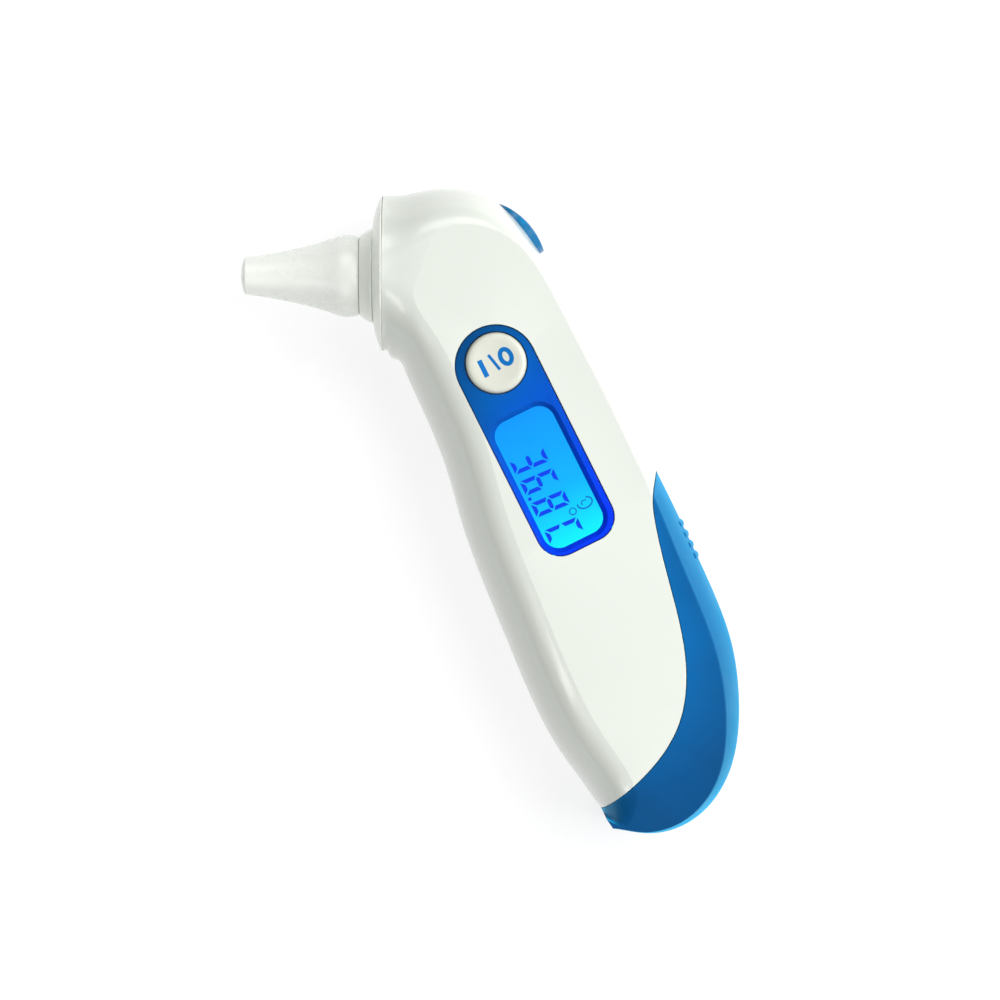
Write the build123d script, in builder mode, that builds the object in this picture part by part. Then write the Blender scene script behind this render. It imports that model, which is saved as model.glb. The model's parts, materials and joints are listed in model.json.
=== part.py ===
"""Digital ear thermometer: white two-shell body, blue battery cover, display, buttons and ear probe.

Row frame, millimetres. The thermometer lies on its flat rear side, with the display facing +Z.
The probe points along -X at the height Z_MID, and the handle leans away from it.
The handle plane has its x towards the back of the handle ("back") and its y up the handle ("up").
"""

import math
import os

from build123d import *

# ---------------------------------------------------------------- driving dimensions
THICKNESS = 35.6  # between the two flat sides of the body
Z_MID = THICKNESS / 2
WALL = 2.0  # shell walls
HANDLE_LEAN = 26.5  # degrees between the handle and +Y
ROUGH_HALF = Z_MID + 0.1  # lofted half thickness, planed down to THICKNESS
SEAM = 0.16  # slit along the parting line of the two shells
TONGUE = 1.5  # height of the rear shell's tongue above the parting line
COVER_GAP = 0.13  # between the shells and the battery cover

# Display side, on the handle plane (back, up)
PANEL_HALF = 9.05  # blue display frame
PANEL_TOP = -13.9
PANEL_BOTTOM = -67.0
PANEL_CORNER = 5.5
PANEL_FIT = 0.12  # all round, in the front shell
PANEL_TOP_Z = THICKNESS - 0.25
PANEL_LOW_Z = 32.0
FLANGE = 0.7  # of the display frame, behind the shell
WINDOW_SIZE = (14.0, 30.4)  # clear display opening
WINDOW_AT = (-0.5, -49.8)
WINDOW_CORNER = 3.6
WINDOW_SLOPE = 42.0  # degrees from upright, of the dished edge round the opening
LENS_SIZE = (15.6, 32.0)
LENS_Z = (33.3, 34.2)
LCD_Z = (31.0, 33.0)
LIGHT_Z = (28.9, 30.9)
BOARD_Z = (26.0, 27.2)
BOARD_HALF = 13.0
BOARD_ENDS = (-13.0, -64.0)

# Power button
BUTTON_AT = (0.3, -22.4)
BUTTON_R = 6.65
BUTTON_TOP_Z = 36.4
BUTTON_ROUND = 1.1
BUTTON_DISH_R = 5.0  # shallow finger dish in its top
BUTTON_DISH = 0.35
BUTTON_FLANGE_R = 7.8
BUTTON_FLANGE_Z = (30.9, 31.7)
BUTTON_TRAVEL = 0.6

# Tactile switches, both alike
SWITCH_SIZE = 6.0
SWITCH_HEIGHT = 2.6
PLUNGER_R = 1.7
PLUNGER_FIT = 0.15
WELL_DEPTH = 1.6  # of the plunger's hole in the switch

# Scan button, on the back of the head
SCAN_AT = (15.8, 10.7)
SCAN_SIZE = (14.4, 11.6)
SCAN_FIT = 0.25
SCAN_ARC = ((-8.0, -1.2), (0.9, 1.9), (8.0, 0.45))  # its top: distance down the handle, rise
SCAN_CROWN = 42.0  # radius of its top across the handle
SCAN_ROOT = 3.2  # depth of the button's skirt under the skin
SCAN_FLANGE = (4.6, 5.4)  # depths of its flange
SCAN_BOARD = (10.2, 11.4)

# Ear probe, along -X
RIM_X = -14.92  # front rim of the shells
HEAD_Y = 0.55  # the round rim's centre lies this far above the probe axis
RIM_R = 17.2
CAP_SPIGOT_R = 14.9
CAP_HOLLOW_R = 13.4
CAP_LIP = 0.25
CAP_DOME = (-16.35, 14.3)  # a point half way over its domed edge: x, radius
CAP_FACE_R = 10.6
CAP_FRONT_X = -17.1
CAP_REAR_X = -15.35  # back of its front wall
CAP_REAR_R = 12.2
CAP_TAPER_X = -14.2  # where the hollow behind that wall stops widening
CAP_END_X = -12.4
COLLAR_FRONT_X = -20.0
COLLAR_REAR_X = -17.15
COLLAR_R = 10.4
BARREL_R = 8.3
BORE_R = 2.7
BORE_REAR_R = 4.2
COVER_FILM = 0.5  # probe cover thickness
SKIRT_R = BARREL_R + 0.05  # inside of the cover's skirt
TIP_FILM = 0.38
TIP_X = -46.4
BARREL_TIP_X = -45.3
SENSOR_SEAT_X = -44.4  # ledge for the sensor window
BORE_STEP_X = -33.0
BARREL_FLANGE_X = (-15.2, -13.6)
BARREL_FLANGE_R = 11.5
BARREL_GAP = 0.25  # between the barrel and the cover over it

# Batteries, AAA
CELL_R = 5.25
CELL_BODY = 43.6
CELL_NUB = 0.9
CELL_BACK = 6.0  # cell axes on the handle plane
CELL_TOP = -69.0
CELL_PITCH = 11.2
TRAY_WALL = 1.2
TRAY_TOP = -67.2  # inside the tray
TRAY_BOTTOM = -115.2
TRAY_SIDE = CELL_PITCH / 2 + CELL_R + 0.35

# Case screws: places on the handle plane, the first one in the head
BOSS_AT = [(4.0, 11.0), (-14.4, -33.0), (15.0, -38.0), (-16.5, -72.0)]
BOSS_R = 2.8
SCREW_SEAT = 9.0
SCREW_R = 1.0
SCREW_HEAD = (2.1, 1.5)
POST_AT = [(11.4, -19.0), (-11.4, -23.0), (-11.4, -59.0), (11.4, -59.0)]
POST_R = 1.6
POST_TOP_Z = 33.2

# Buzzer on the rear shell, under its ring of sound holes
BUZZER_AT = (0, -30)
BUZZER_R = 6.2
BUZZER_RIM = 1.6
BUZZER_HEIGHT = 3.2
SOUND_HOLES = 6
SOUND_HOLE_R = 0.6
SOUND_RING_R = 3.2

RIB_COUNT = 4  # thumb ribs on the battery cover
RIB_PITCH = 2.57
RIB_R = 1.1
RIB_FIRST = (20.95, -71.9)  # (back, up) of the first rib's centre, most of it inside the wall
RIB_DRIFT = 0.07  # how much nearer to the probe side each next rib lies
RIB_REACH = 7.5
RIB_CROWN = 34.0

os.makedirs("parts", exist_ok=True)

# ---------------------------------------------------------------- frames
LEAN = math.radians(HANDLE_LEAN)
BACK = Vector(math.cos(LEAN), math.sin(LEAN), 0)
UP = Vector(-math.sin(LEAN), math.cos(LEAN), 0)
SCAN_OUT = Vector(0.787, 0.617, 0)
SCAN_DOWN = Vector(0.617, -0.787, 0)
PROBE = Axis((0, 0, Z_MID), (1, 0, 0))


def on_handle(back, up, z=0.0):
    """A point of the row frame from handle coordinates."""
    return BACK * back + UP * up + Vector(0, 0, z)


def handle_plane(z=0.0, centre=(0, 0)):
    """Plane parallel to the flat sides, with handle coordinates from a centre."""
    return Plane(origin=on_handle(*centre, z), x_dir=BACK, z_dir=(0, 0, 1))


def along_handle(back, up, z):
    """Plane across the handle: local x towards the back, local z up the handle."""
    return Plane(origin=on_handle(back, up, z), x_dir=BACK, z_dir=UP)


def scan_plane(depth=0.0):
    """Plane across the scan button's travel, at a depth under the skin: local x down the handle."""
    return Plane(origin=Vector(*SCAN_AT, Z_MID) - SCAN_OUT * depth, x_dir=SCAN_DOWN, z_dir=SCAN_OUT)


def probe_plane(rise=0.0):
    """Plane that holds the probe axis as its local x, or a parallel one above it."""
    return Plane(origin=(0, rise, Z_MID), x_dir=(1, 0, 0), z_dir=(0, 0, 1))


# ---------------------------------------------------------------- body skin
# Each station cuts the body from a point on its probe side to one on its back. It gives them,
# the half thickness, and the corner and crown radii of the soft nose and of the ridged back.
SOFT = (9.0, 26.0)
RIDGE = 0.8
STATIONS = [
    ((-14.9, -16.7), (-14.8, 17.8), 17.2, (17.0, 17.4), (17.0, 17.4)),
    ((-13.3, -17.8), (-4.4, 19.1), 17.6, (14.0, 19.5), (12.0, 22.0)),
    ((-11.8, -18.6), (5.8, 18.4), ROUGH_HALF, (11.0, 23.0), (8.0, 30.0)),
    ((-10.7, -19.5), (13.1, 14.0), ROUGH_HALF, SOFT, (4.0, 40.0)),
    ((-9.8, -21.6), (18.7, 6.9), ROUGH_HALF, SOFT, (1.5, 60.0)),
    ((-8.7, -24.2), (23.4, -0.9), ROUGH_HALF, SOFT, (RIDGE, 68.0)),
    ((-6.2, -29.6), (29.3, -11.8), ROUGH_HALF, SOFT, (RIDGE, 66.0)),
    ((-1.1, -42.0), (35.6, -23.7), ROUGH_HALF, SOFT, (RIDGE, 62.0)),
    ((2.4, -54.2), (41.4, -34.8), ROUGH_HALF, SOFT, (RIDGE, 54.0)),
    ((7.6, -68.7), (48.3, -48.3), ROUGH_HALF, SOFT, (RIDGE, 45.0)),
    ((12.9, -81.6), (54.3, -60.9), ROUGH_HALF, SOFT, (RIDGE, 38.0)),
    ((18.0, -93.6), (59.6, -72.8), ROUGH_HALF, SOFT, (RIDGE, 36.0)),
    ((22.9, -103.1), (62.9, -83.2), ROUGH_HALF, SOFT, (RIDGE, 37.0)),
    ((26.7, -108.7), (64.1, -93.0), ROUGH_HALF, SOFT, (RIDGE, 40.0)),
    ((29.3, -112.2), (63.8, -102.5), ROUGH_HALF, SOFT, (RIDGE, 44.0)),
    ((31.6, -115.6), (61.1, -112.0), ROUGH_HALF, (8.0, 28.0), (RIDGE, 48.0)),
    ((32.9, -117.3), (54.9, -119.8), ROUGH_HALF, (6.0, 34.0), (RIDGE, 50.0)),
    ((33.6, -118.2), (44.9, -123.4), ROUGH_HALF, (4.0, 40.0), (RIDGE, 60.0)),
    ((34.0, -118.9), (36.2, -122.1), ROUGH_HALF, (0.6, 200.0), (0.6, 200.0)),
]
HOLLOW_STATIONS = 17  # the hollow stops short of the solid toe


def arc_about(centre, start, end):
    """Arc from start to end round a centre, the short way."""
    radius = (start - centre).length
    middle = centre + (start + end - centre * 2).normalized() * radius
    ThreePointArc(start, middle, end)


def rounded_end(half, corner, crown):
    """Depth of a section's rounded end, and the point where its crown meets the upper corner."""
    reach = math.sqrt((crown - corner) ** 2 - (half - corner) ** 2)
    share = crown / (crown - corner)
    return crown - reach, Vector(crown - reach * share, (half - corner) * share)


def body_section(width, half, nose, back):
    """Closed section: two flat sides, a soft nose at x = 0 and a ridged back at x = width."""
    nose_depth, nose_end = rounded_end(half, *nose)
    back_depth, back_end = rounded_end(half, *back)
    crown_end = Vector(width - back_end.X, back_end.Y)
    for side in (1, -1):
        nose_flat = Vector(nose_depth, half * side)
        back_flat = Vector(width - back_depth, half * side)
        Line(nose_flat, back_flat)
        back_centre = Vector(width - back_depth, (half - back[0]) * side)
        nose_centre = Vector(nose_depth, (half - nose[0]) * side)
        arc_about(back_centre, back_flat, Vector(crown_end.X, crown_end.Y * side))
        arc_about(nose_centre, nose_flat, Vector(nose_end.X, nose_end.Y * side))
    ThreePointArc(crown_end, Vector(width, 0), Vector(crown_end.X, -crown_end.Y))
    ThreePointArc(nose_end, Vector(0, 0), Vector(nose_end.X, -nose_end.Y))


def body_skin(inset=0.0, count=len(STATIONS)):
    """Solid inside the body's skin, drawn in by inset, through the first stations."""
    with BuildPart() as skin:
        for inner, outer, half, nose, back in STATIONS[:count]:
            start = Vector(*inner)
            across = Vector(*outer) - start
            run = across.normalized()
            origin = start + run * inset + Vector(0, 0, Z_MID)
            nose, back = ((max(corner - inset, 0.4), crown - inset) for corner, crown in (nose, back))
            with BuildSketch(Plane(origin=origin, x_dir=run, z_dir=(run.Y, -run.X, 0))):
                with BuildLine():
                    body_section(across.length - 2 * inset, half - inset, nose, back)
                make_face()
        loft()
        split(bisect_by=Plane.XY.offset(THICKNESS - inset), keep=Keep.BOTTOM)
        split(bisect_by=Plane.XY.offset(inset), keep=Keep.TOP)
    return skin.part


outer_skin = body_skin()
hollow = body_skin(WALL, HOLLOW_STATIONS)
half_wall = body_skin(WALL / 2, HOLLOW_STATIONS)

# Boundary between the shells and the battery cover, on the handle plane
COVER_EDGE = [
    (24.9, -55.2),
    (21.5, -59.1),
    (17.9, -63.6),
    (15.6, -69.5),
    (12.5, -82.9),
    (7.6, -100.5),
    (0.5, -110.9),
    (-12.4, -117.9),
    (-22.4, -120.3),
    (-31.0, -122.0),
]


def cover_outline(shift=0.0):
    """Everything on the cover's side of the boundary, moved towards the cover by shift."""
    edge = Spline(*[(back + shift, up - shift) for back, up in COVER_EDGE])
    Polyline(edge @ 1, (-31.0, -140.0), (40.0, -140.0), (40.0, -55.2), edge @ 0)


def panel_face(grow):
    """The display frame's lozenge, grown all round."""
    half = PANEL_HALF + grow
    round_at = PANEL_TOP - PANEL_HALF
    length = round_at - PANEL_BOTTOM + grow
    with Locations((0, round_at)):
        Circle(half)
    with Locations((0, round_at - length / 2)):
        Rectangle(2 * half, length)
    fillet(vertices().group_by(Axis.Y)[0], PANEL_CORNER + grow)


with BuildPart() as shell:
    add(outer_skin)
    add(hollow, mode=Mode.SUBTRACT)
    with BuildSketch(handle_plane()):
        with Locations(*BOSS_AT):
            Circle(BOSS_R)
    extrude(amount=THICKNESS)
    add(outer_skin, mode=Mode.INTERSECT)
    with BuildSketch(scan_plane(SCAN_FLANGE[1] + 3)):
        Ellipse(SCAN_SIZE[0] / 2 + SCAN_FIT, SCAN_SIZE[1] / 2 + SCAN_FIT)
    extrude(amount=SCAN_FLANGE[1] + 13, mode=Mode.SUBTRACT)

with BuildPart() as cover_side:
    with BuildSketch(handle_plane()):
        with BuildLine():
            cover_outline()
        make_face()
    extrude(amount=THICKNESS)

with BuildPart() as tongue:
    add(half_wall)
    add(hollow, mode=Mode.SUBTRACT)
    split(bisect_by=Plane.XY.offset(Z_MID - SEAM / 2), keep=Keep.TOP)
    split(bisect_by=Plane.XY.offset(Z_MID + TONGUE), keep=Keep.BOTTOM)
    add(cover_side.part, mode=Mode.SUBTRACT)
    with BuildSketch(scan_plane(SCAN_FLANGE[1])):
        Ellipse(SCAN_SIZE[0] / 2 + SCAN_FIT, SCAN_SIZE[1] / 2 + SCAN_FIT)
    extrude(amount=SCAN_FLANGE[1] + 4, mode=Mode.SUBTRACT)

# ---------------------------------------------------------------- shells
with BuildPart() as front_case:
    add(shell.part)
    split(bisect_by=Plane.XY.offset(Z_MID + SEAM / 2), keep=Keep.TOP)
    add(cover_side.part, mode=Mode.SUBTRACT)
    add(tongue.part, mode=Mode.SUBTRACT)
    with BuildSketch(handle_plane(PANEL_LOW_Z)):
        panel_face(0.0)
    extrude(amount=THICKNESS - PANEL_LOW_Z, mode=Mode.SUBTRACT)
    with BuildSketch(handle_plane(BOARD_Z[1])):
        with Locations(*POST_AT):
            Circle(POST_R)
    extrude(amount=POST_TOP_Z - BOARD_Z[1])
    with BuildSketch(handle_plane(BOARD_Z[1])):
        with Locations(*POST_AT):
            Circle(SCREW_R)
    extrude(amount=4, mode=Mode.SUBTRACT)
    with BuildSketch(handle_plane(Z_MID)):
        with Locations(*BOSS_AT):
            Circle(SCREW_R)
    extrude(amount=8, mode=Mode.SUBTRACT)
front_case.part.label = "front_case"
export_step(front_case.part, "parts/front_case.step")

with BuildPart() as rear_case:
    add(shell.part)
    split(bisect_by=Plane.XY.offset(Z_MID - SEAM / 2), keep=Keep.BOTTOM)
    add(cover_side.part, mode=Mode.SUBTRACT)
    add(tongue.part)
    with BuildSketch(handle_plane()):
        with Locations(*BOSS_AT):
            Circle(SCREW_HEAD[0] + 0.2)
    extrude(amount=SCREW_SEAT, mode=Mode.SUBTRACT)
    with BuildSketch(handle_plane()):
        with Locations(*BOSS_AT):
            Circle(SCREW_R + 0.2)
    extrude(amount=Z_MID, mode=Mode.SUBTRACT)
    with BuildSketch(handle_plane()):
        with Locations(BUZZER_AT):
            with PolarLocations(SOUND_RING_R, SOUND_HOLES):
                Circle(SOUND_HOLE_R)
            Circle(SOUND_HOLE_R)
    extrude(amount=WALL, mode=Mode.SUBTRACT)
rear_case.part.label = "rear_case"
export_step(rear_case.part, "parts/rear_case.step")

with BuildPart() as nose_cap:
    with BuildSketch(probe_plane(HEAD_Y)):
        with BuildLine():
            Polyline((RIM_X, RIM_R), (RIM_X - CAP_LIP, RIM_R))
            ThreePointArc((RIM_X - CAP_LIP, RIM_R), CAP_DOME, (CAP_FRONT_X, CAP_FACE_R))
            Polyline((CAP_FRONT_X, CAP_FACE_R), (CAP_FRONT_X, BARREL_R - 1), (CAP_REAR_X, BARREL_R - 1))
            Line((CAP_REAR_X, BARREL_R - 1), (CAP_REAR_X, CAP_REAR_R))
            Line((CAP_REAR_X, CAP_REAR_R), (CAP_TAPER_X, CAP_HOLLOW_R))
            Polyline((CAP_TAPER_X, CAP_HOLLOW_R), (CAP_END_X, CAP_HOLLOW_R), (CAP_END_X, CAP_SPIGOT_R))
            Polyline((CAP_END_X, CAP_SPIGOT_R), (RIM_X, CAP_SPIGOT_R), (RIM_X, RIM_R))
        make_face()
    revolve(axis=Axis((0, HEAD_Y, Z_MID), (1, 0, 0)))
    with Locations(Location((-16, 0, Z_MID), (0, 90, 0))):
        Cylinder(BARREL_R, 8, mode=Mode.SUBTRACT)
nose_cap.part.label = "nose_cap"
export_step(nose_cap.part, "parts/nose_cap.step")

# ---------------------------------------------------------------- ear probe
# Cone shared by the probe cover and the barrel inside it: (x, radius of the cover's outside)
CONE = [(-25.2, 8.7), (-28.4, 7.6), (-32.2, 6.55), (-36.2, 5.65), (-40.2, 4.9), (-45.3, 4.15)]


def cone_line(inward):
    """The cone's slightly hollow flank, drawn in towards the axis."""
    Spline(*[(x, radius - inward) for x, radius in CONE])


with BuildPart() as probe_collar:
    with BuildSketch(probe_plane()):
        with BuildLine():
            Line((COLLAR_REAR_X, BARREL_R + 0.1), (COLLAR_REAR_X, COLLAR_R))
            Line((COLLAR_REAR_X, COLLAR_R), (COLLAR_REAR_X - 0.4, COLLAR_R))
            ThreePointArc((COLLAR_REAR_X - 0.4, COLLAR_R), (-18.9, 9.65), (COLLAR_FRONT_X, BARREL_R + 0.55))
            Line((COLLAR_FRONT_X, BARREL_R + 0.55), (COLLAR_FRONT_X, BARREL_R + 0.1))
            Line((COLLAR_FRONT_X, BARREL_R + 0.1), (COLLAR_REAR_X, BARREL_R + 0.1))
        make_face()
    revolve(axis=PROBE)
probe_collar.part.label = "probe_collar"
export_step(probe_collar.part, "parts/probe_collar.step")

with BuildPart() as probe_barrel:
    with BuildSketch(probe_plane()):
        with BuildLine():
            cone_line(COVER_FILM + BARREL_GAP)
            tip_r = CONE[-1][1] - COVER_FILM - BARREL_GAP
            seat_r = BORE_R + 0.35
            Polyline((BARREL_TIP_X, tip_r), (BARREL_TIP_X, seat_r), (SENSOR_SEAT_X, seat_r))
            Polyline((SENSOR_SEAT_X, seat_r), (SENSOR_SEAT_X, BORE_R), (BORE_STEP_X, BORE_R))
            front, rear = BARREL_FLANGE_X
            Polyline((BORE_STEP_X, BORE_R), (BORE_STEP_X, BORE_REAR_R), (rear, BORE_REAR_R))
            Polyline((rear, BORE_REAR_R), (rear, BARREL_FLANGE_R), (front, BARREL_FLANGE_R))
            Polyline((front, BARREL_FLANGE_R), (front, BARREL_R - 0.1), (-25.0, BARREL_R - 0.1))
            Line((-25.0, BARREL_R - 0.1), (CONE[0][0], CONE[0][1] - COVER_FILM - BARREL_GAP))
        make_face()
    revolve(axis=PROBE)
probe_barrel.part.label = "probe_barrel"
export_step(probe_barrel.part, "parts/probe_barrel.step")

with BuildPart() as probe_cover:
    with BuildSketch(probe_plane()):
        with BuildLine():
            cone_line(0.0)
            cone_line(COVER_FILM)
            ThreePointArc((-45.3, 4.15), (-45.62, 3.96), (-45.8, 3.55))
            ThreePointArc((-45.8, 3.55), (-46.25, 1.8), (TIP_X, 0.4))
            Polyline((TIP_X, 0.4), (TIP_X, 0), (TIP_X + TIP_FILM, 0), (TIP_X + TIP_FILM, 0.4))
            ThreePointArc((TIP_X + TIP_FILM, 0.4), (-45.87, 1.8), (-45.43, 3.5))
            Line((-45.43, 3.5), (-45.3, 4.15 - COVER_FILM))
            ThreePointArc((-25.2, 8.7), (-23.2, 9.15), (-20.6, 8.85))
            Polyline((-20.6, 8.85), (-20.2, 8.65), (-20.2, SKIRT_R), (-24.9, SKIRT_R), (-25.2, 8.2))
        make_face()
    revolve(axis=PROBE)
probe_cover.part.label = "probe_cover"
export_step(probe_cover.part, "parts/probe_cover.step")


def probe_tube(x_from, x_to, outside, inside=0.0):
    """A tube or a rod on the probe axis, added to the piece being made."""
    with Locations(Location(((x_from + x_to) / 2, 0, Z_MID), (0, 90, 0))):
        Cylinder(outside, abs(x_to - x_from))
        if inside:
            Cylinder(inside, abs(x_to - x_from), mode=Mode.SUBTRACT)


with BuildPart() as sensor_window:
    probe_tube(SENSOR_SEAT_X - 0.5, SENSOR_SEAT_X, BORE_R + 0.3)
sensor_window.part.label = "sensor_window"
export_step(sensor_window.part, "parts/sensor_window.step")

with BuildPart() as waveguide_tube:
    probe_tube(SENSOR_SEAT_X + 0.1, BORE_STEP_X - 0.2, BORE_R - 0.05, BORE_R - 0.4)
waveguide_tube.part.label = "waveguide_tube"
export_step(waveguide_tube.part, "parts/waveguide_tube.step")

with BuildPart() as sensor_sleeve:
    probe_tube(BORE_STEP_X + 0.1, BORE_STEP_X + 7.0, BORE_REAR_R - 0.1, BORE_R)
sensor_sleeve.part.label = "sensor_sleeve"
export_step(sensor_sleeve.part, "parts/sensor_sleeve.step")

with BuildPart() as infrared_sensor:
    probe_tube(-32.4, -29.4, 2.35)
    probe_tube(-29.4, -28.9, BORE_R - 0.05)
    with BuildSketch(Plane(origin=(-28.95, 0, Z_MID), z_dir=(1, 0, 0))):
        with PolarLocations(1.3, 4):
            Circle(0.23)
    extrude(amount=3.0)
infrared_sensor.part.label = "infrared_sensor"
export_step(infrared_sensor.part, "parts/infrared_sensor.step")


def bent_rod(points, radii, thickness):
    """A lead or a wire along straight runs joined by tangent arcs, as a part of its own."""
    with BuildPart() as rod:
        with BuildLine() as route:
            FilletPolyline(*points, radius=radii)
        with BuildSketch(Plane(origin=route.line @ 0, z_dir=route.line % 0)):
            Circle(thickness / 2)
        sweep(path=route.line)
    return rod.part


SENSOR_LEAD_POINTS = [
    Vector(-25.8, 0, Z_MID),
    Vector(-6.0, 0, Z_MID),
    on_handle(0, -8.0, 24.0),
    on_handle(0, -14.9, 24.0),
]
with BuildPart() as sensor_lead:
    probe_tube(-25.0, -25.9, 2.2)
    add(bent_rod(SENSOR_LEAD_POINTS, [8.0, 6.0], 1.6))
sensor_lead.part.label = "sensor_lead"
export_step(sensor_lead.part, "parts/sensor_lead.step")

# ---------------------------------------------------------------- display
with BuildPart() as display_frame:
    with BuildSketch(handle_plane(PANEL_LOW_Z)):
        panel_face(-PANEL_FIT)
    extrude(amount=PANEL_TOP_Z - PANEL_LOW_Z)
    chamfer(faces().sort_by(Axis.Z)[-1].edges(), 0.25)
    with BuildSketch(handle_plane(PANEL_LOW_Z)):
        panel_face(FLANGE)
    extrude(amount=1.0)
    with BuildSketch(handle_plane(LENS_Z[1])):
        with Locations(WINDOW_AT):
            RectangleRounded(*WINDOW_SIZE, WINDOW_CORNER)
    extrude(amount=PANEL_TOP_Z - LENS_Z[1] + 0.05, taper=-WINDOW_SLOPE, mode=Mode.SUBTRACT)
    with BuildSketch(handle_plane(PANEL_LOW_Z)):
        with Locations(WINDOW_AT):
            Rectangle(LENS_SIZE[0] + 0.2, LENS_SIZE[1] + 0.2)
    extrude(amount=LENS_Z[1] - PANEL_LOW_Z, mode=Mode.SUBTRACT)
    with BuildSketch(handle_plane(PANEL_LOW_Z)):
        with Locations(BUTTON_AT):
            Circle(BUTTON_R + 0.25)
    extrude(amount=4, mode=Mode.SUBTRACT)
display_frame.part.label = "display_frame"
export_step(display_frame.part, "parts/display_frame.step")

with BuildPart() as display_lens:
    with BuildSketch(handle_plane(LENS_Z[0])):
        with Locations(WINDOW_AT):
            RectangleRounded(*LENS_SIZE, 2.2)
    extrude(amount=LENS_Z[1] - LENS_Z[0])
display_lens.part.label = "display_lens"
export_step(display_lens.part, "parts/display_lens.step")

with BuildPart() as display_gasket:
    with BuildSketch(handle_plane(LCD_Z[1])):
        with Locations(WINDOW_AT):
            RectangleRounded(*LENS_SIZE, 2.2)
            RectangleRounded(WINDOW_SIZE[0] + 0.4, WINDOW_SIZE[1] + 0.4, WINDOW_CORNER, mode=Mode.SUBTRACT)
    extrude(amount=LENS_Z[0] - LCD_Z[1])
display_gasket.part.label = "display_gasket"
export_step(display_gasket.part, "parts/display_gasket.step")

UPPER_GLASS = 0.9  # the shorter of the display's two glasses
with BuildPart() as lcd_panel:
    with BuildSketch(handle_plane(LCD_Z[0])):
        with Locations(WINDOW_AT):
            Rectangle(*LENS_SIZE)
    extrude(amount=LCD_Z[1] - LCD_Z[0] - UPPER_GLASS)
    with BuildSketch(handle_plane(LCD_Z[1] - UPPER_GLASS)):
        with Locations(WINDOW_AT):
            Rectangle(LENS_SIZE[0], LENS_SIZE[1] - 3.0)
    extrude(amount=UPPER_GLASS)
lcd_panel.part.label = "lcd_panel"
export_step(lcd_panel.part, "parts/lcd_panel.step")

STRIP_INSET = 1.3  # of the connector strips from the glass's ends
with BuildPart() as backlight_guide:
    with BuildSketch(handle_plane(LIGHT_Z[0])):
        with Locations(WINDOW_AT):
            Rectangle(LENS_SIZE[0], LENS_SIZE[1] - 6.0)
    extrude(amount=LIGHT_Z[1] - LIGHT_Z[0])
backlight_guide.part.label = "backlight_guide"
export_step(backlight_guide.part, "parts/backlight_guide.step")

with BuildPart() as lcd_connector_strips:
    with BuildSketch(handle_plane(BOARD_Z[1])):
        with Locations(WINDOW_AT):
            with GridLocations(1, LENS_SIZE[1] - 2 * STRIP_INSET, 1, 2):
                Rectangle(LENS_SIZE[0] - 1.2, 1.9)
    extrude(amount=LCD_Z[0] - BOARD_Z[1])
lcd_connector_strips.part.label = "lcd_connector_strips"
export_step(lcd_connector_strips.part, "parts/lcd_connector_strips.step")

# ---------------------------------------------------------------- main board
with BuildPart() as main_board:
    with BuildSketch(handle_plane(BOARD_Z[0])):
        with Locations((0, sum(BOARD_ENDS) / 2)):
            Rectangle(2 * BOARD_HALF, BOARD_ENDS[0] - BOARD_ENDS[1])
        fillet(vertices(), 4.0)
        with Locations(*BOSS_AT):
            Circle(BOSS_R + 0.3, mode=Mode.SUBTRACT)
        with Locations(*POST_AT):
            Circle(SCREW_R + 0.1, mode=Mode.SUBTRACT)
    extrude(amount=BOARD_Z[1] - BOARD_Z[0])
main_board.part.label = "main_board"
export_step(main_board.part, "parts/main_board.step")

CHIP_AT = (-1.0, -45.0)
CHIP_SIDE = 9.0
CHIP_HEIGHT = 1.3
CHIP_CORNER = 0.4
with BuildPart() as processor_chip:
    with BuildSketch(handle_plane(BOARD_Z[0] - CHIP_HEIGHT)):
        with Locations(CHIP_AT):
            Rectangle(CHIP_SIDE, CHIP_SIDE)
    extrude(amount=CHIP_HEIGHT)
    chamfer(edges().filter_by(Axis.Z), CHIP_CORNER)
processor_chip.part.label = "processor_chip"
export_step(processor_chip.part, "parts/processor_chip.step")

SMALL_PART = (1.9, 1.2, 0.9)
SMALL_PITCH = (3.3, 3.4)
SMALL_PARTS = [((-1.0, -33.5), 5), ((-1.0, -56.0), 4)]  # centre of each double row, and its columns
CAPACITOR_R = 2.4
CAPACITOR_HEIGHT = 3.4
with BuildPart() as board_parts:
    with BuildSketch(handle_plane(BOARD_Z[0] - SMALL_PART[2])):
        for place, columns in SMALL_PARTS:
            with Locations(place):
                with GridLocations(*SMALL_PITCH, columns, 2):
                    Rectangle(SMALL_PART[0], SMALL_PART[1])
    extrude(amount=SMALL_PART[2])
    with BuildSketch(handle_plane(BOARD_Z[0] - CAPACITOR_HEIGHT)):
        with Locations((0, -24.0)):
            Circle(CAPACITOR_R)
    extrude(amount=CAPACITOR_HEIGHT)
board_parts.part.label = "board_parts"
export_step(board_parts.part, "parts/board_parts.step")

SENSOR_SOCKET_AT = (0, -16.6)
SCAN_SOCKET_AT = (7.0, -18.5)
CELL_SOCKET_AT = (5.4, -61.9)
SOCKET_HEIGHT = 3.2
with BuildPart() as lead_sockets:
    with BuildSketch(handle_plane(BOARD_Z[0] - SOCKET_HEIGHT)):
        with Locations(SENSOR_SOCKET_AT):
            Rectangle(6.0, 3.4)
        with Locations(SCAN_SOCKET_AT, CELL_SOCKET_AT):
            Rectangle(4.4, 3.4)
    extrude(amount=SOCKET_HEIGHT)
lead_sockets.part.label = "lead_sockets"
export_step(lead_sockets.part, "parts/lead_sockets.step")

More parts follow.
